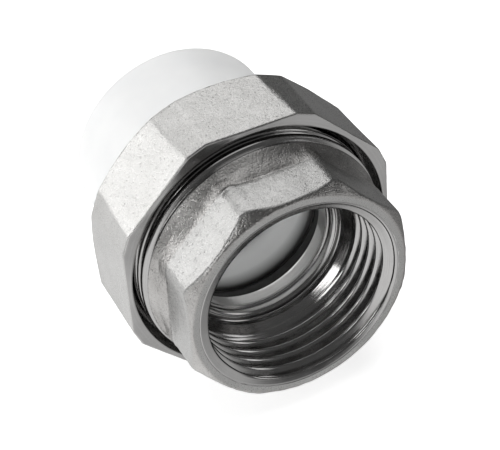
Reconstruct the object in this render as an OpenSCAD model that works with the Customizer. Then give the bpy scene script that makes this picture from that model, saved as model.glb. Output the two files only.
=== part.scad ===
// Demountable pipe union: a plated brass tail with a parallel pipe thread, a plated
// brass union nut, a flat rubber gasket and a polypropylene fusion socket.
// The axis of the fitting lies along Y and the threaded mouth faces -Y. The origin is
// on that axis, halfway along the fitting. The nut rests on one of its flats.
// Every length along the fitting is measured from the mouth face.

/* [Pipe thread, G 1] */
// Radius at the crests of the internal pipe thread
pipe_crest_r = 15.145; // [15.0:0.005:15.3]
// Radius at the mouth of the countersink in front of the thread
pipe_mouth_r = 16.7; // [16.4:0.05:16.9]
// Where the full thread ends
pipe_thread_end = 10; // [9:0.1:11]

/* [Tail] */
// Distance across the eight flats
tail_flats = 37.2; // [36.4:0.1:37.4]
// Outer radius of the plain rim round the mouth
tail_rim_r = 18.2; // [17.8:0.05:18.4]
// Length of the cone that turns the rim into the flats
tail_rim_len = 2.2; // [2:0.1:3]
// Where the flats end and the flange begins
flats_end = 8.8; // [8.4:0.1:9.4]
// Radius of the flange at its front edge
flange_front_r = 19.6; // [19:0.1:20]
// Radius of the machined ring that backs the flange
ring_r = 20.7; // [20.5:0.05:20.9]
// Where the cone of the flange ends and the ring begins
ring_start = 12.6; // [12:0.1:13]
// Where the ring ends and the union thread begins
ring_end = 13.8; // [13.4:0.1:14.2]
// Sealing face at the inner end of the tail
seal_face = 18.6; // [18.2:0.1:19.2]
// Radius of the union thread, taken at the middle of its height
union_thread_r = 20.3; // [20.1:0.05:20.4]
// Radius of the counterbore at the end of the pipe thread
counterbore_r = 12.8; // [12.7:0.1:13.2]
// Radius of the waterway through the tail
tail_bore_r = 12.4; // [11.8:0.1:12.6]

/* [Union nut] */
// Distance across the eight wide flats
nut_flats = 46; // [45.6:0.1:46.6]
// Distance across the eight narrow flats that cut the corners
nut_corner_flats = 48.3; // [47.6:0.1:49]
// Where the front face of the nut stands
nut_front = 13.6; // [13.4:0.1:14]
// Length of the nut
nut_len = 13.7; // [13:0.1:14.5]
// Thickness of the inward lip that holds the socket's flange
nut_lip = 2.4; // [2:0.1:3]
// Radius of the nut's threaded bore, taken at the middle of the thread
nut_bore_r = 20.6; // [20.55:0.05:20.8]
// Radius of the recess at the nut's front face
nut_mouth_r = 21.8; // [21.4:0.05:22]
// Depth of that recess
nut_mouth_len = 2; // [1:0.1:3]
// Radius of the hole in the lip
nut_hole_r = 18.4; // [18.3:0.05:18.6]
// Radius of the round chamfer where it meets the back face
nut_back_r = 23.1; // [22.4:0.1:23.4]

/* [Gasket] */
// Thickness of the flat gasket
gasket_t = 2; // [1.5:0.1:2.5]
// Outer radius of the gasket
gasket_r = 19.4; // [18.8:0.1:19.6]
// Radius of the hole in the gasket
gasket_hole_r = 13.2; // [12.6:0.1:13.6]

/* [Fusion socket, 25 mm pipe] */
// Outer radius of the socket's flange
socket_flange_r = 19.6; // [19.2:0.1:19.8]
// Outer radius of the barrel where it leaves the nut
barrel_front_r = 18; // [17.8:0.05:18.2]
// Outer radius of the barrel at its open end
barrel_end_r = 17.7; // [17.2:0.1:18]
// Radius of the rounding at the barrel's open end
barrel_round = 1.4; // [0.5:0.1:2]
// Radius of the chamber behind the flange
chamber_r = 12.6; // [12.2:0.1:13]
// Radius of the hole through the pipe stop
stop_r = 10.2; // [9.5:0.1:11]
// Radius of the socket that the heated pipe end is pushed into
socket_r = 12.2; // [12.1:0.05:12.3]
// Depth of the socket, from the open end to the pipe stop
socket_depth = 16.8; // [16:0.1:18]
// Length of the whole fitting
total_len = 48; // [47:0.5:50]

/* [Hidden] */
FINE = 128;
OVER = 1;
nickel = [0.72, 0.72, 0.71];
nut_end = nut_front + nut_len;
lip_start = nut_end - nut_lip;
gasket_end = seal_face + gasket_t;
socket_start = total_len - socket_depth;
// Thickness of the pipe stop
stop_len = 2.4;
stop_start = socket_start - stop_len;
stop_bevel = chamber_r - stop_r;
// Length of the countersink, and how fast it narrows
pipe_mouth_len = 0.8;
pipe_mouth_slope = (pipe_mouth_r - pipe_crest_r) / pipe_mouth_len;
nut_bore_bevel = nut_mouth_r - nut_bore_r;
// Faces that only touch are drawn this far apart
face_gap = 0.05;
// The run-out of the pipe thread narrows to this radius before the seat
runout_r = 14.5;
runout_end = 11.3;
seat_end = 13.6;
// How fast the cone of the rim widens
rim_slope = 0.95;
// The flats run this far into the flange
flats_root = 2.2;
// Small bevels at the edges of the flange and of the ring
flange_bevel = 1.2;
ring_bevel = 0.2;
seal_bevel = 0.8;
thread_bevel = 0.7;
counterbore_end = 15;
// The round chamfer at the back of the nut, along the axis and across it
nut_bevel_len = 0.9;
nut_bevel_across = 1.1;
lip_bevel = 0.5;
socket_bevel = 0.8;

// Turns a profile of [radius, distance from the mouth] points round the Y axis
module turned(profile) {
    rotate([-90, 0, 0])
        translate([0, 0, -total_len / 2])
            rotate_extrude($fn = FINE)
                polygon(profile);
}

// A regular eight-sided prism with a flat at the top, between two distances
module eight_flats(across, from, to, turn = 0) {
    corner_r = across / 2 / cos(22.5);
    translate([0, from - total_len / 2, 0])
        rotate([-90, 0, 0])
            rotate([0, 0, 22.5 + turn])
                cylinder(h = to - from, r = corner_r, $fn = 8);
}

module threaded_tail() {
    rim_back_r = tail_rim_r + tail_rim_len * rim_slope;
    color(nickel)
        difference() {
            union() {
                // Flats, with the rim turned down to a cone
                intersection() {
                    eight_flats(tail_flats, 0, flats_end + flats_root);
                    turned([
                        [0, 0],
                        [tail_rim_r, 0],
                        [rim_back_r, tail_rim_len],
                        [rim_back_r, ring_start],
                        [0, ring_start]
                    ]);
                }
                // Flange, machined ring and union thread
                turned([
                    [0, flats_end],
                    [flange_front_r - flange_bevel, flats_end],
                    [flange_front_r, flats_end + flange_bevel],
                    [ring_r - ring_bevel, ring_start],
                    [ring_r, ring_start + ring_bevel],
                    [ring_r, ring_end],
                    [union_thread_r, ring_end],
                    [union_thread_r, seal_face - thread_bevel],
                    [union_thread_r - thread_bevel, seal_face],
                    [0, seal_face]
                ]);
            }
            // Countersink, thread, run-out, seat, counterbore and waterway
            turned([
                [0, -OVER],
                [pipe_mouth_r + OVER * pipe_mouth_slope, -OVER],
                [pipe_crest_r, pipe_mouth_len],
                [pipe_crest_r, pipe_thread_end],
                [runout_r, runout_end],
                [counterbore_r, seat_end],
                [counterbore_r, counterbore_end],
                [tail_bore_r, counterbore_end],
                [tail_bore_r, seal_face - seal_bevel],
                [tail_bore_r + seal_bevel + OVER, seal_face + OVER],
                [0, seal_face + OVER]
            ]);
        }
}

module union_nut() {
    color(nickel)
        difference() {
            intersection() {
                eight_flats(nut_flats, nut_front, nut_end);
                eight_flats(nut_corner_flats, nut_front, nut_end, 22.5);
                // Round chamfer at the back
                turned([
                    [0, nut_front - OVER],
                    [nut_corner_flats, nut_front - OVER],
                    [nut_corner_flats, nut_end - nut_bevel_len],
                    [nut_back_r + nut_bevel_across, nut_end - nut_bevel_len],
                    [nut_back_r, nut_end],
                    [nut_back_r, nut_end + OVER],
                    [0, nut_end + OVER]
                ]);
            }
            // Recess, threaded bore and the hole through the lip
            turned([
                [0, nut_front - OVER],
                [nut_mouth_r, nut_front - OVER],
                [nut_mouth_r, nut_front + nut_mouth_len],
                [nut_bore_r, nut_front + nut_mouth_len + nut_bore_bevel],
                [nut_bore_r, lip_start],
                [nut_hole_r, lip_start],
                [nut_hole_r, nut_end - lip_bevel],
                [nut_hole_r + lip_bevel + OVER, nut_end + OVER],
                [0, nut_end + OVER]
            ]);
        }
}

module gasket() {
    color([0.08, 0.08, 0.08])
        turned([
            [gasket_hole_r, seal_face + face_gap],
            [gasket_r, seal_face + face_gap],
            [gasket_r, gasket_end],
            [gasket_hole_r, gasket_end]
        ]);
}

module fusion_socket() {
    // Rounded outer edge of the open end, as points on a quarter circle
    round_points = [
        for (a = [0:15:90])
            [
                barrel_end_r - barrel_round * (1 - cos(a)),
                total_len - barrel_round * (1 - sin(a))
            ]
    ];
    color([0.95, 0.96, 0.97])
        turned(concat(
            [
                [chamber_r, gasket_end],
                [socket_flange_r, gasket_end],
                [socket_flange_r, lip_start - face_gap],
                [barrel_front_r, lip_start - face_gap]
            ],
            round_points,
            [
                [socket_r + socket_bevel, total_len],
                [socket_r, total_len - socket_bevel],
                [socket_r, socket_start],
                [stop_r, socket_start],
                [stop_r, stop_start + stop_bevel],
                [chamber_r, stop_start]
            ]
        ));
}

threaded_tail();
union_nut();
gasket();
fusion_socket();
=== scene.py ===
"""The looks of a demountable pipe union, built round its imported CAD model.

The axis of the fitting lies along Y and its threaded mouth faces -Y. Lengths along the
axis are millimetres from the mouth face, radii are millimetres from the axis, and an
angle of 0 points straight up and grows towards +X. Meshes and lights are in metres.
"""
import math

import bpy
import numpy as np
from mathutils import Matrix, Vector


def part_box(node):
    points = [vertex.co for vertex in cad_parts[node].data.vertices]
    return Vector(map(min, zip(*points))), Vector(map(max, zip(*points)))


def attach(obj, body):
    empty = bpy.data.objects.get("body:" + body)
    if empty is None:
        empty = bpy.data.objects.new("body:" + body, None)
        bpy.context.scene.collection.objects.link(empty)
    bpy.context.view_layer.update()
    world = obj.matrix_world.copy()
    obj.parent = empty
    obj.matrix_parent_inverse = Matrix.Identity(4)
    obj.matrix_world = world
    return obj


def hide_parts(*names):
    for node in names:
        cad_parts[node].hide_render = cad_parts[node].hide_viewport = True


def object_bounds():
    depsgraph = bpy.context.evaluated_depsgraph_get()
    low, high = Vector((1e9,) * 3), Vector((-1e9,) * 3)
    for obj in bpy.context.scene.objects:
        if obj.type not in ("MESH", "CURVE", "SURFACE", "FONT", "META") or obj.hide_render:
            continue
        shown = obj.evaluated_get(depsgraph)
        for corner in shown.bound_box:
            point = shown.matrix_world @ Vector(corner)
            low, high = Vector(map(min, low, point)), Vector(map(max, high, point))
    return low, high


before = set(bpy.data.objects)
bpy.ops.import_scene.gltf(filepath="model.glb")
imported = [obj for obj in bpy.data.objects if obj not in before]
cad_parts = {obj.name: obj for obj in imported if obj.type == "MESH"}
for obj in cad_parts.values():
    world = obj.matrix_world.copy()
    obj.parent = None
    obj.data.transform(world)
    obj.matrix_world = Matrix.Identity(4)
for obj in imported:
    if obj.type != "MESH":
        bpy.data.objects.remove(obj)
cad_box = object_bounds()

MM = 0.001
TURN = 2 * math.pi

# The tail's flats and the nut's wide flats are eight each, so shapes repeat in each sector
SIDES = 8
SECTOR = TURN / SIDES

# Finishes of a face, which pick its material. Only turned faces are free of forging marks.
BLASTED, TURNED, FORGED = 0, 1, 2

tail_low, tail_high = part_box("threaded_tail")
nut_low, nut_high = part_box("union_nut")
gasket_low, gasket_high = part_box("gasket")
socket_low, socket_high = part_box("fusion_socket")
mouth_y = tail_low.y


def from_mouth(y):
    """Distance from the mouth face, in millimetres, of a place y along the axis."""
    return round((y - mouth_y) / MM, 2)


# Lengths along the axis
seal_face = from_mouth(tail_high.y)
nut_front = from_mouth(nut_low.y)
nut_end = from_mouth(nut_high.y)
gasket_start = from_mouth(gasket_low.y)
gasket_end = from_mouth(gasket_high.y)
total_len = from_mouth(socket_high.y)

# The lip of the nut holds the flange of the socket, and a thin gap parts the two
NUT_LIP = 2.4
FACE_GAP = 0.05
lip_start = nut_end - NUT_LIP

# Radii that the frame gives
ring_r = round(tail_high.x / MM, 2)
gasket_r = round(gasket_high.x / MM, 2)
socket_flange_r = round(socket_high.x / MM, 2)
nut_apothem = round(nut_high.z / MM, 2)

# Pipe thread G 1, right-hand, with the rounded 55 degree profile
PIPE_PITCH = 25.4 / 11
PIPE_ROOT_R = 33.249 / 2
PIPE_DEPTH = 0.640327 * PIPE_PITCH
PIPE_ROUNDING = 0.137329 * PIPE_PITCH
PIPE_FLANK = math.radians(27.5)
PIPE_CREST_R = PIPE_ROOT_R - PIPE_DEPTH

# Union thread that joins the nut to the tail
UNION_PITCH = 1.5
UNION_HEIGHT = 0.4
UNION_TAIL_R = 20.3
UNION_NUT_R = 20.6


# ---------------------------------------------------------------- outlines

def smooth_min(a, b, width):
    """The smaller of a and b, rounded over where they are within width of each other."""
    share = np.clip(0.5 + 0.5 * (b - a) / width, 0, 1)
    return b + (a - b) * share - width * share * (1 - share)


def smooth_max(a, b, width):
    """The larger of a and b, rounded in the same way."""
    return -smooth_min(-a, -b, width)


def prism_radius(angles, apothem, edge):
    """Radius of an eight-sided prism with a flat at angle 0 and rounded edges."""
    off = np.abs((angles + SECTOR / 2) % SECTOR - SECTOR / 2)
    return smooth_min(apothem / np.cos(off), apothem / np.cos(SECTOR - off), edge)


def ripple(angles, seed, waves, size):
    """A closed wavy line round the fitting, as one value per angle."""
    random = np.random.default_rng(seed)
    total = np.zeros_like(angles)
    for k in range(2, waves):
        total += np.cos(k * angles + random.uniform(0, TURN)) * random.normal()
    return size * total / math.sqrt(waves / 2)


def waviness(points, seed, wavelength, waves=28):
    """Smooth random unevenness of unit size in space, as a sum of plane waves."""
    random = np.random.default_rng(seed)
    total = np.zeros(points.shape[:-1])
    for _ in range(waves):
        direction = random.normal(size=3)
        direction /= np.linalg.norm(direction)
        k = direction * TURN / (wavelength * random.uniform(0.7, 1.6))
        total += np.cos(points @ k + random.uniform(0, TURN))
    return total / math.sqrt(waves / 2)


def sector_angles(zones):
    """Angles round the fitting: each sector has the same zones of (end in degrees, steps)."""
    width = 360 / SIDES
    start, sector = -width / 2, []
    for end, steps in zones:
        sector += list(np.linspace(start, end, steps, endpoint=False))
        start = end
    return np.radians(np.concatenate([np.array(sector) + width * k for k in range(SIDES)]))


def corner(radius, station, rounding, arc=3, run=0, finish=TURNED):
    """A corner of an outline: arc points on its rounding and run points on the side after it."""
    return {"at": (radius, station), "rounding": rounding, "arc": arc, "run": run,
            "finish": finish}


def path(radii, stations, run=0):
    """A turned stretch of an outline that is given point by point."""
    return {"path": (radii, stations), "run": run, "finish": TURNED}


def rounded(before, at, after, rounding, count):
    """Points on an arc that rounds the corner at, for every angle at once."""
    tiny, straight, most_of_side = 1e-9, 0.9999, 0.45
    first, second = before - at, after - at
    first_len = np.linalg.norm(first, axis=-1, keepdims=True) + tiny
    second_len = np.linalg.norm(second, axis=-1, keepdims=True) + tiny
    first, second = first / first_len, second / second_len
    cosine = np.clip((first * second).sum(-1, keepdims=True), -straight, straight)
    half = np.arccos(cosine) / 2
    reach = np.minimum(rounding / np.tan(half),
                       most_of_side * np.minimum(first_len, second_len))
    middle = first + second
    middle /= np.linalg.norm(middle, axis=-1, keepdims=True)
    centre = at + middle * reach / np.cos(half)
    start, end = at + first * reach - centre, at + second * reach - centre
    sweep = math.pi - 2 * half
    points = []
    for t in np.linspace(0, 1, count):
        blend = (np.sin((1 - t) * sweep) * start + np.sin(t * sweep) * end) / np.sin(sweep)
        points.append(centre + blend)
    return points


def outline(angles, steps):
    """Rows of (radius, station), one row per outline point, and each row's finish."""
    count = len(angles)
    ends = []
    for step in steps:
        if "path" in step:
            radii, stations = (np.broadcast_to(v, (len(v), count)) for v in step["path"])
            step["points"] = [np.stack(p, -1) for p in zip(radii, stations)]
        else:
            at = np.stack([np.broadcast_to(v, (count,)) for v in step["at"]], -1)
            step["points"] = [at.astype(float)]
        ends.append((step["points"][0], step["points"][-1]))
    for i, step in enumerate(steps):
        if "at" in step:
            before, after = ends[i - 1][1], ends[(i + 1) % len(steps)][0]
            step["points"] = rounded(
                before, step["points"][0], after, step["rounding"], step["arc"])
    rows, finishes = [], []
    for i, step in enumerate(steps):
        following = steps[(i + 1) % len(steps)]["points"][0]
        last = step["points"][-1]
        run = [last + (following - last) * k / (step["run"] + 1)
               for k in range(1, step["run"] + 1)]
        rows += step["points"] + run
        finishes += [step["finish"]] * (len(step["points"]) + step["run"])
    return np.array(rows), np.array(finishes)


def add_unevenness(rows, finishes, angles, uneven):
    """Hollows out the rough faces by random waviness. uneven: (seed, wavelength, size).

    Waviness above level leaves the face as it is, so that nothing grows outwards.
    """
    level = 1.5
    rough = (finishes != TURNED) & (np.roll(finishes, 1) != TURNED)
    for seed, wavelength, size in uneven:
        radii, stations = rows[..., 0], rows[..., 1]
        space = np.stack([radii * np.sin(angles), stations, radii * np.cos(angles)], -1)
        hollow = np.minimum(waviness(space, seed, wavelength) - level, 0)
        rows[..., 0] += size * hollow * rough[:, None]


def add_marks(rows, finishes, angles, marks):
    """Raises ridges and presses dents on the rough faces."""
    for angle, station, half_length, half_width, tilt, height in marks:
        off = (np.degrees(angles) - angle + 180) % 360 - 180
        along = np.radians(off) * rows[..., 0]
        across = rows[..., 1] - station - tilt * along
        shape = np.exp(-(along / half_length) ** 4 - (across / half_width) ** 2)
        rows[..., 0] += height * shape * (finishes != TURNED)[:, None]


def lathe(name, angles, steps, materials, uneven=(), marks=()):
    """Makes a ring-shaped piece from one closed outline per angle."""
    rows, finishes = outline(angles, steps)
    add_unevenness(rows, finishes, angles, uneven)
    add_marks(rows, finishes, angles, marks)
    radii, places = rows[..., 0] * MM, mouth_y + rows[..., 1] * MM
    points = np.stack([radii * np.sin(angles), places, radii * np.cos(angles)], -1)
    points = np.clip(points, cad_box[0], cad_box[1])
    count, around = len(rows), len(angles)
    row, turn = np.meshgrid(np.arange(count), np.arange(around), indexing="ij")
    next_row, next_turn = (row + 1) % count, (turn + 1) % around
    faces = np.stack([row * around + turn, row * around + next_turn,
                      next_row * around + next_turn, next_row * around + turn], -1)
    mesh = bpy.data.meshes.new(name)
    mesh.from_pydata(points.reshape(-1, 3).tolist(), [], faces.reshape(-1, 4).tolist())
    for material in materials:
        mesh.materials.append(material)
    indices = np.minimum(np.repeat(finishes, around), len(materials) - 1)
    mesh.polygons.foreach_set("material_index", indices.astype(np.int32))
    mesh.polygons.foreach_set("use_smooth", np.ones(len(mesh.polygons), bool))
    mesh.update()
    piece = bpy.data.objects.new(name, mesh)
    bpy.context.scene.collection.objects.link(piece)
    return piece


# ---------------------------------------------------------------- threads

def pipe_thread(angles, inner_end, outer_end, rows, full_end, mouth_r):
    """Internal pipe thread: it runs out behind full_end, and the countersink cuts its mouth."""
    countersink_slope, cut_rounding, run_out_power = 2.2, 0.06, 0.7
    stations = np.linspace(inner_end, outer_end, rows)[:, None] + 0 * angles
    turn = (stations / PIPE_PITCH - angles / TURN) % 1
    off_crest = np.abs(turn - 0.5) * PIPE_PITCH
    off_root = PIPE_PITCH / 2 - off_crest
    reach = PIPE_ROUNDING * math.cos(PIPE_FLANK)
    rise = PIPE_ROUNDING * (1 - math.sin(PIPE_FLANK))
    flank = rise + (off_root - reach) / math.tan(PIPE_FLANK)
    crest = PIPE_DEPTH - PIPE_ROUNDING + np.sqrt(
        np.maximum(PIPE_ROUNDING ** 2 - off_crest ** 2, 0))
    root = PIPE_ROUNDING - np.sqrt(np.maximum(PIPE_ROUNDING ** 2 - off_root ** 2, 0))
    height = np.where(off_crest < reach, crest, flank)
    height = np.where(off_root < reach, root, height)
    fade = np.clip((inner_end - stations) / (inner_end - full_end), 0, 1)
    radii = PIPE_CREST_R + (PIPE_DEPTH - height) * fade ** run_out_power
    countersink = mouth_r - countersink_slope * stations
    return smooth_max(radii, countersink, cut_rounding), stations


def union_thread(angles, middle_r, start, end, rows):
    """Union thread of rounded triangles, the same helix on the tail and in the nut."""
    fullness = 1.5
    stations = np.linspace(start, end, rows)[:, None] + 0 * angles
    turn = stations / UNION_PITCH - angles / TURN
    wave = np.tanh(fullness * np.sin(TURN * turn)) / math.tanh(fullness)
    return middle_r + UNION_HEIGHT * wave, stations


# ---------------------------------------------------------------- materials

def add(tree, kind, inputs=None, **settings):
    """Adds a node. An input is a value or another node's output."""
    made = tree.nodes.new(kind)
    for name, value in settings.items():
        setattr(made, name, value)
    for name, value in (inputs or {}).items():
        if isinstance(value, bpy.types.NodeSocket):
            tree.links.new(value, made.inputs[name])
        else:
            made.inputs[name].default_value = value
    return made


def new_material(name):
    """A new material, its node tree and its shader node."""
    material = bpy.data.materials.new(name)
    material.use_nodes = True
    tree = material.node_tree
    return material, tree, tree.nodes["Principled BSDF"]


def object_place(tree):
    """Place on the object, in metres."""
    return add(tree, "ShaderNodeTexCoord").outputs["Object"]


def noise(tree, place, size_mm, detail=2, rough=0.5):
    """Fractal noise whose features are about size_mm across."""
    made = add(tree, "ShaderNodeTexNoise", {
        "Vector": place, "Scale": 1 / (size_mm * MM), "Detail": detail,
        "Roughness": rough})
    return made.outputs["Fac"]


def spread(tree, value, low, high, to_low=0.0, to_high=1.0):
    """Maps value from low..high to to_low..to_high, and clamps it."""
    return add(tree, "ShaderNodeMapRange", {
        "Value": value, "From Min": low, "From Max": high,
        "To Min": to_low, "To Max": to_high}).outputs["Result"]


def combine(tree, operation, a, b):
    """The result of a Math node."""
    return add(tree, "ShaderNodeMath", {0: a, 1: b}, operation=operation).outputs[0]


def colour_between(tree, share, low, high):
    """A colour from low to high, each (red, green, blue) or another node's output."""
    ends = [c if isinstance(c, bpy.types.NodeSocket) else (*c, 1) for c in (low, high)]
    made = add(tree, "ShaderNodeMix", {
        "Factor": share, "A": ends[0], "B": ends[1]}, data_type="RGBA")
    return made.outputs["Result"]


def ring_place(tree, place):
    """Radius and place along the axis: noise in it makes rings round the axis."""
    parts = add(tree, "ShaderNodeSeparateXYZ", {0: place})
    flat = add(tree, "ShaderNodeCombineXYZ", {
        "X": parts.outputs["X"], "Z": parts.outputs["Z"]})
    radius = add(tree, "ShaderNodeVectorMath", {0: flat.outputs[0]}, operation="LENGTH")
    return add(tree, "ShaderNodeCombineXYZ", {
        "X": radius.outputs["Value"], "Y": parts.outputs["Y"]}).outputs[0]


def set_bump(tree, shader, height, depth_mm):
    """Gives the shader a relief of depth_mm for a height from 0 to 1."""
    bump = add(tree, "ShaderNodeBump", {"Height": height, "Distance": depth_mm * MM})
    tree.links.new(bump.outputs["Normal"], shader.inputs["Normal"])


def rough_nickel(name, grain_mm, depth_mm, dark, light):
    """Nickel plating over a shot-blasted forging: grainy, with shallow dents and pits."""
    material, tree, shader = new_material(name)
    place = object_place(tree)
    grain = noise(tree, place, grain_mm, rough=0.6)
    dents = noise(tree, place, 1.1)
    clouds = noise(tree, place, 5)
    pits = spread(tree, noise(tree, place, 0.5, detail=1), 0.64, 0.72)
    height = combine(tree, "ADD", grain, combine(tree, "MULTIPLY", dents, 0.5))
    height = combine(tree, "SUBTRACT", height, combine(tree, "MULTIPLY", pits, 0.35))
    set_bump(tree, shader, height, depth_mm)
    tone = spread(tree, combine(tree, "ADD", grain, clouds), 0.75, 1.25)
    tree.links.new(colour_between(tree, tone, dark, light), shader.inputs["Base Color"])
    tree.links.new(spread(tree, grain, 0.3, 0.7, 0.24, 0.36), shader.inputs["Roughness"])
    shader.inputs["Metallic"].default_value = 1
    return material


def turned_nickel():
    """Nickel plating over lathe-turned brass: smooth, with fine rings round the axis."""
    material, tree, shader = new_material("turned_nickel")
    place = object_place(tree)
    rings = noise(tree, ring_place(tree, place), 0.16, detail=3, rough=0.6)
    smudges = noise(tree, place, 3, detail=3)
    set_bump(tree, shader, rings, 0.009)
    tone = spread(tree, combine(tree, "ADD", rings, smudges), 0.7, 1.3)
    base = colour_between(tree, tone, (0.40, 0.395, 0.39), (0.47, 0.465, 0.46))
    tree.links.new(base, shader.inputs["Base Color"])
    tree.links.new(spread(tree, smudges, 0.35, 0.65, 0.12, 0.22),
                   shader.inputs["Roughness"])
    shader.inputs["Metallic"].default_value = 1
    return material


def white_plastic():
    """Moulded white polypropylene: satin, faintly translucent, with soft flow marks.

    Inside the waterway a painted shade darkens it towards the gasket, in place of the shade that
    the metal casts there, where it keeps light out.
    """
    chamber_wall_r, painted_shade_len = 13 * MM, 3 * MM
    material, tree, shader = new_material("white_polypropylene")
    place = object_place(tree)
    grain = noise(tree, place, 0.12)
    flow = noise(tree, place, 5)
    set_bump(tree, shader, combine(tree, "ADD", grain, flow), 0.006)
    white = colour_between(tree, spread(tree, flow, 0.3, 0.7),
                           (0.90, 0.905, 0.905), (0.93, 0.935, 0.93))
    # Painted shade: the inner wall is near black next to the gasket and clears to the plain
    # white 3 mm deeper and 1 mm outside the chamber wall.
    parts = add(tree, "ShaderNodeSeparateXYZ", {0: ring_place(tree, place)})
    depth = spread(tree, parts.outputs["Y"], gasket_high.y, gasket_high.y + painted_shade_len)
    outside = spread(tree, parts.outputs["X"], chamber_wall_r, chamber_wall_r + 1 * MM)
    light = combine(tree, "MAXIMUM", depth, outside)
    base = colour_between(tree, light, (0.03, 0.03, 0.028), white)
    tree.links.new(base, shader.inputs["Base Color"])
    tree.links.new(spread(tree, flow, 0.3, 0.7, 0.32, 0.42), shader.inputs["Roughness"])
    shader.inputs["Subsurface Weight"].default_value = 0.15
    shader.inputs["Subsurface Radius"].default_value = (1.0, 1.0, 1.0)
    shader.inputs["Subsurface Scale"].default_value = 1.5 * MM
    return material


def black_rubber():
    """Moulded black rubber: matt, with a fine grain and a little bloom."""
    material, tree, shader = new_material("black_rubber")
    grain = noise(tree, object_place(tree), 0.2, detail=3)
    set_bump(tree, shader, grain, 0.02)
    base = colour_between(tree, grain, (0.012, 0.012, 0.012), (0.028, 0.028, 0.027))
    tree.links.new(base, shader.inputs["Base Color"])
    tree.links.new(spread(tree, grain, 0.3, 0.7, 0.55, 0.75), shader.inputs["Roughness"])
    return material


# ---------------------------------------------------------------- pieces

# Ridges and dents that the forging die left on the tail: angle, station, half length,
# half width, tilt, height
FORGING_MARKS = [
    (-44, 8.0, 7.5, 0.35, 0.0, 0.10),
    (-22, 7.9, 1.6, 0.45, 0.35, 0.16),
    (-13, 8.3, 3.4, 0.40, -0.06, -0.20),
    (-4.5, 8.2, 0.5, 0.40, 0.0, 0.14),
    (-16, 5.6, 0.35, 1.30, 0.0, -0.08),
    (8, 8.0, 4.0, 0.35, 0.05, -0.08),
    (68, 7.8, 6.0, 0.40, -0.05, 0.08),
    (112, 8.1, 5.0, 0.35, 0.04, -0.10),
    (160, 7.9, 6.5, 0.40, 0.0, 0.09),
    (205, 8.1, 4.5, 0.35, -0.05, -0.09),
    (250, 7.8, 6.0, 0.40, 0.03, 0.09),
    (284, 8.2, 3.0, 0.35, 0.0, -0.08),
]


def threaded_tail(materials):
    """The tail: flats, flange, ring and union thread outside, pipe thread inside."""
    angles = sector_angles([(-20, 7), (20, 34), (22.5, 7)])
    rim_r, cone_slope = 18.3, 0.95
    flats_apothem, flats_edge, flats_end = 18.6, 1.1, 8.1
    flange_front_r, flange_start = 19.6, 10.4
    ring_start, ring_end = 12.7, 13.8
    groove_r, groove_start = ring_r - 0.75, ring_start - 0.6
    union_root_r = UNION_TAIL_R - UNION_HEIGHT
    mouth_r, thread_end, full_thread_end = 16.9, 10.9, 9.6
    land_r, land_start, land_end = 12.8, 13.9, 15
    bore_r, bore_bevel = 12.4, 0.8

    flats = prism_radius(angles, flats_apothem, flats_edge)
    flats = flats + ripple(angles, seed=3, waves=20, size=0.02)
    cone_r = rim_r + ripple(angles, seed=5, waves=60, size=0.05)
    cone_end = (flats - cone_r) / cone_slope
    flange_r = np.maximum(flange_front_r, flats + 0.03)
    union_r, union_s = union_thread(
        angles, UNION_TAIL_R, ring_end + 0.7, seal_face - 0.9, rows=32)
    pipe_r, pipe_s = pipe_thread(
        angles, thread_end, 0.1, rows=76, full_end=full_thread_end, mouth_r=mouth_r)
    steps = [
        # Rim, flats and flange
        corner(rim_r, 0, 0.8, arc=6, run=2, finish=FORGED),
        corner(flats, cone_end, 0.8, arc=6, run=18, finish=BLASTED),
        corner(flats, flats_end, 0.8, arc=6, run=4, finish=FORGED),
        corner(flange_r, flange_start, 1.2, arc=6, run=4, finish=FORGED),
        # Groove and machined ring
        corner(ring_r - 0.35, groove_start - 0.2, 0.15, arc=4),
        corner(groove_r, groove_start, 0.08, run=1),
        corner(groove_r, ring_start, 0.08),
        corner(ring_r - 0.1, ring_start + 0.2, 0.1, run=1),
        corner(ring_r, ring_start + 0.45, 0.1, run=1),
        corner(ring_r, ring_end, 0.08, run=1),
        # Union thread and seal face
        corner(union_root_r, ring_end + 0.3, 0.1, run=1),
        path(union_r, union_s, run=1),
        corner(UNION_TAIL_R - 0.9, seal_face, 0.12, run=5),
        # Waterway, with a turned line near the land
        corner(bore_r + bore_bevel, seal_face, 0.1, run=1),
        corner(bore_r, seal_face - bore_bevel, 0.1, run=4),
        corner(bore_r, land_end + 0.2, 0.06, arc=2, run=1),
        corner(bore_r + 0.15, land_end + 0.1, 0.04, arc=2),
        corner(bore_r, land_end, 0.04, arc=2),
        # Land, with a sharp ring in front of it
        corner(land_r, land_end, 0.08, run=2),
        corner(land_r, land_start, 0.12, arc=4),
        corner(land_r + 0.5, land_start - 0.4, 0.1),
        corner(land_r + 0.7, land_start + 0.1, 0.1, arc=4),
        # Relief behind the pipe thread, in two turned steps
        corner(13.75, land_start, 0.1, arc=4),
        corner(13.8, 13.2, 0.04),
        corner(13.95, 13.1, 0.04),
        corner(14.1, 12.35, 0.08),
        corner(14.95, 11.3, 0.1),
        path(pipe_r, pipe_s),
        # Edge of the mouth, with a fine turned line
        corner(mouth_r, 0, 0.06, run=1),
        corner(mouth_r + 0.12, 0.07, 0.03, arc=2),
        corner(mouth_r + 0.24, 0, 0.05, run=2, finish=BLASTED),
    ]
    return lathe("tail", angles, steps, materials,
                 uneven=[(11, 4.5, 0.012), (12, 1.3, 0.01)], marks=FORGING_MARKS)


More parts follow.
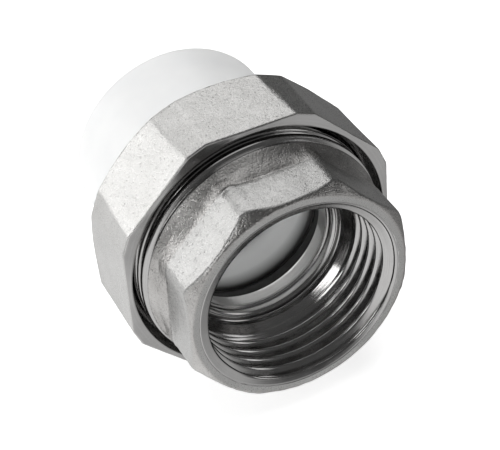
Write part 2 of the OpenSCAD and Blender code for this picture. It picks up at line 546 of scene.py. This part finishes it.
def union_nut(materials):
    """The nut: eight wide flats and eight narrow ones, a threaded bore and an inner lip."""
    zones = [(-6.4, 18), (-3.8, 8), (3.8, 8), (6.4, 8), (22.5, 18)]
    angles = sector_angles(zones) + SECTOR / 2
    sharp_edge, soft_edge = 0.02, 0.1
    wide = prism_radius(angles, nut_apothem - 0.01, sharp_edge)

    def flats(corner_apothem):
        narrow = prism_radius(angles - SECTOR / 2, corner_apothem, sharp_edge)
        return smooth_min(wide, narrow, soft_edge)

    front_r, back_r = flats(24.15), flats(23.9)
    hole_r, hole_bevel, mouth_r = 18.4, 0.5, 22.0
    relief_r, relief_start = 21.1, lip_start - 1.2
    chamfer_r, chamfer_slope, least_chamfer = 23.1, 0.82, 0.05
    chamfer_start = nut_end - chamfer_slope * np.maximum(back_r - chamfer_r, least_chamfer)
    recess_end = nut_front + 2
    bore_r, bore_s = union_thread(
        angles, UNION_NUT_R, relief_start - 0.4, recess_end + 1, rows=62)
    steps = [
        # Flats and the round chamfer at the back
        corner(front_r, nut_front + 0.25, 0.2, arc=4, run=24, finish=BLASTED),
        corner(back_r, chamfer_start, 0.3, arc=4, run=2, finish=BLASTED),
        corner(chamfer_r, nut_end, 0.3, arc=4, run=5, finish=BLASTED),
        # Hole through the lip
        corner(hole_r + hole_bevel, nut_end, 0.12),
        corner(hole_r, nut_end - hole_bevel, 0.12, run=2),
        corner(hole_r, lip_start, 0.12, run=4),
        # Relief, thread and the recess at the front
        corner(relief_r, lip_start, 0.15, run=1),
        corner(relief_r, relief_start, 0.15, run=1),
        path(bore_r, bore_s, run=1),
        corner(mouth_r, recess_end, 0.1, run=2),
        corner(mouth_r, nut_front, 0.15, arc=4, run=5),
    ]
    return lathe("nut", angles, steps, materials, uneven=[(21, 6, 0.010), (22, 1.4, 0.006)])


def gasket(materials):
    """The flat gasket between the tail and the socket."""
    angles = np.linspace(0, TURN, 200, endpoint=False)
    hole_r, edge = 13.2, 0.25
    steps = [
        corner(gasket_r, gasket_start, edge, arc=4, run=3),
        corner(gasket_r, gasket_end, edge, arc=4, run=10),
        corner(hole_r, gasket_end, edge, arc=4, run=3),
        corner(hole_r, gasket_start, edge, arc=4, run=10),
    ]
    return lathe("flat_gasket", angles, steps, materials)


def fusion_socket(materials):
    """The plastic end: a flange held by the nut, and a socket for a welded pipe."""
    angles = np.linspace(0, TURN, 256, endpoint=False)
    flange_end = lip_start - FACE_GAP
    barrel_front_r, barrel_end_r = 18.0, 17.7
    chamber_r, stop_r, bore_r, bore_bevel = 12.6, 10.2, 12.2, 0.8
    socket_depth, stop_len, stop_bevel = 16.8, 2.4, 1.7
    stop_end = total_len - socket_depth
    stop_start = stop_end - stop_len
    steps = [
        # Flange and barrel
        corner(socket_flange_r, gasket_end, 0.3, arc=4, run=3),
        corner(socket_flange_r, flange_end, 0.3, arc=4, run=2),
        corner(barrel_front_r, flange_end, 0.3, arc=4, run=30),
        corner(barrel_end_r, total_len, 1.4, arc=10, run=4),
        # Socket for the pipe, pipe stop and chamber
        corner(bore_r + bore_bevel, total_len, 0.3, arc=4, run=1),
        corner(bore_r, total_len - bore_bevel, 0.3, arc=4, run=18),
        corner(bore_r, stop_end, 0.2, run=3),
        corner(stop_r, stop_end, 0.3, arc=4, run=1),
        corner(stop_r, stop_start + stop_bevel, 0.4, arc=4, run=3),
        corner(chamber_r, stop_start, 0.5, arc=4, run=12),
        corner(chamber_r, gasket_end, 0.5, arc=5, run=8),
    ]
    return lathe("socket", angles, steps, materials)


# ---------------------------------------------------------------- stage

LIGHT_DISTANCE = 0.6


def floor():
    """A large plain pale floor that the nut rests on. Reflections don't show it."""
    half = 3.0
    z = nut_low.z
    mesh = bpy.data.meshes.new("floor")
    mesh.from_pydata(
        [(-half, -half, z), (half, -half, z), (half, half, z), (-half, half, z)],
        [], [(0, 1, 2, 3)])
    material, tree, shader = new_material("floor_paint")
    speckle = noise(tree, object_place(tree), 40, detail=1)
    base = colour_between(tree, speckle, (0.87, 0.87, 0.87), (0.89, 0.89, 0.89))
    tree.links.new(base, shader.inputs["Base Color"])
    shader.inputs["Emission Color"].default_value = (1, 1, 1, 1)
    shader.inputs["Emission Strength"].default_value = 0.68
    shader.inputs["Roughness"].default_value = 0.8
    shader.inputs["Specular IOR Level"].default_value = 0.1
    mesh.materials.append(material)
    piece = bpy.data.objects.new("floor", mesh)
    piece.visible_glossy = False
    bpy.context.scene.collection.objects.link(piece)


def direction(azimuth, elevation):
    """Unit vector to an azimuth and an elevation. Azimuth 0 is +Y and grows towards +X."""
    a, e = math.radians(azimuth), math.radians(elevation)
    return Vector((math.sin(a) * math.cos(e), math.cos(a) * math.cos(e), math.sin(e)))


def softbox(name, azimuth, elevation, width, height, radiance, glossy=True):
    """A rectangular studio light that faces the fitting, seen in reflections or not."""
    light = bpy.data.lights.new(name, "AREA")
    light.shape = "RECTANGLE"
    light.size, light.size_y = width, height
    light.energy = radiance * math.pi * width * height
    lamp = bpy.data.objects.new(name, light)
    away = direction(azimuth, elevation)
    lamp.location = away * LIGHT_DISTANCE
    lamp.rotation_mode = "QUATERNION"
    lamp.rotation_quaternion = (-away).to_track_quat("-Z", "Y")
    lamp.visible_glossy = glossy
    bpy.context.scene.collection.objects.link(lamp)


def surroundings():
    """Faint light from all round, and more from below, lightest to the left and the front."""
    world = bpy.data.worlds.new("studio")
    world.use_nodes = True
    tree = world.node_tree
    parts = add(tree, "ShaderNodeSeparateXYZ", {
        0: add(tree, "ShaderNodeTexCoord").outputs["Generated"]})
    left = spread(tree, parts.outputs["X"], 0.5, -0.3, 0.0, 0.9)
    front = spread(tree, parts.outputs["Y"], 0.2, -0.6, 0.0, 0.46)
    below = spread(tree, parts.outputs["Z"], 0.0, -0.2)
    glow = combine(tree, "ADD", combine(tree, "MAXIMUM", left, front), 0.12)
    glow = combine(tree, "MULTIPLY", glow, below)
    background = tree.nodes["Background"]
    background.inputs["Color"].default_value = (1, 1, 1, 1)
    tree.links.new(combine(tree, "ADD", glow, 0.1), background.inputs["Strength"])
    bpy.context.scene.world = world


def studio():
    """The surroundings and seven softboxes."""
    surroundings()
    softbox("back_top", 3, 42, 0.6, 0.34, 1.5)
    softbox("left_back", -50, 17, 0.5, 0.36, 2.1)
    softbox("left_front", -119, 27, 0.13, 0.4, 4.0)
    softbox("overhead", 180, 84, 0.5, 0.4, 1.8, glossy=False)
    softbox("top", 20, 78, 0.4, 0.4, 0.65)
    softbox("fill_right", 75, 35, 0.4, 0.4, 0.9, glossy=False)
    softbox("right_front", 130, 16, 0.26, 0.16, 1.2)


def camera():
    """The camera, turned about the point on the fitting that it looks at."""
    target = Vector((0.19, -6.14, 1.51)) * MM
    distance_mm = 286
    looking = direction(23.33, -38.8)
    roll = Matrix.Rotation(math.radians(-4.66), 3, "Z").to_quaternion()
    data = bpy.data.cameras.new("camera")
    data.sensor_width, data.lens = 36, 129.6
    data.clip_start, data.clip_end = 0.01, 20
    made = bpy.data.objects.new("camera", data)
    made.location = target - looking * distance_mm * MM
    made.rotation_mode = "QUATERNION"
    made.rotation_quaternion = looking.to_track_quat("-Z", "Y") @ roll
    bpy.context.scene.collection.objects.link(made)
    bpy.context.scene.camera = made


# ---------------------------------------------------------------- assembly

# The materials of each metal piece stand in the order of the finishes
turned = turned_nickel()
nut_metal = [
    rough_nickel("blasted_nickel", grain_mm=0.24, depth_mm=0.055,
                 dark=(0.49, 0.485, 0.475), light=(0.56, 0.555, 0.545)),
    turned,
]
tail_metal = [
    rough_nickel("blasted_tail", grain_mm=0.24, depth_mm=0.055,
                 dark=(0.41, 0.407, 0.40), light=(0.48, 0.477, 0.47)),
    turned,
    rough_nickel("forged_nickel", grain_mm=0.3, depth_mm=0.085,
                 dark=(0.40, 0.39, 0.38), light=(0.52, 0.51, 0.50)),
]
assembly = [
    (threaded_tail(tail_metal), "threaded_tail", "tail", "plated_tail"),
    (union_nut(nut_metal), "union_nut", "nut", "plated_nut"),
    (gasket([black_rubber()]), "gasket", "socket_end", "black_rubber"),
    (fusion_socket([white_plastic()]), "fusion_socket", "socket_end", "white_plastic"),
]
for piece, cad_node, body, material_slot in assembly:
    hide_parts(cad_node)
    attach(piece, body)

floor()
studio()
camera()
bpy.context.scene.view_settings.view_transform = "Standard"
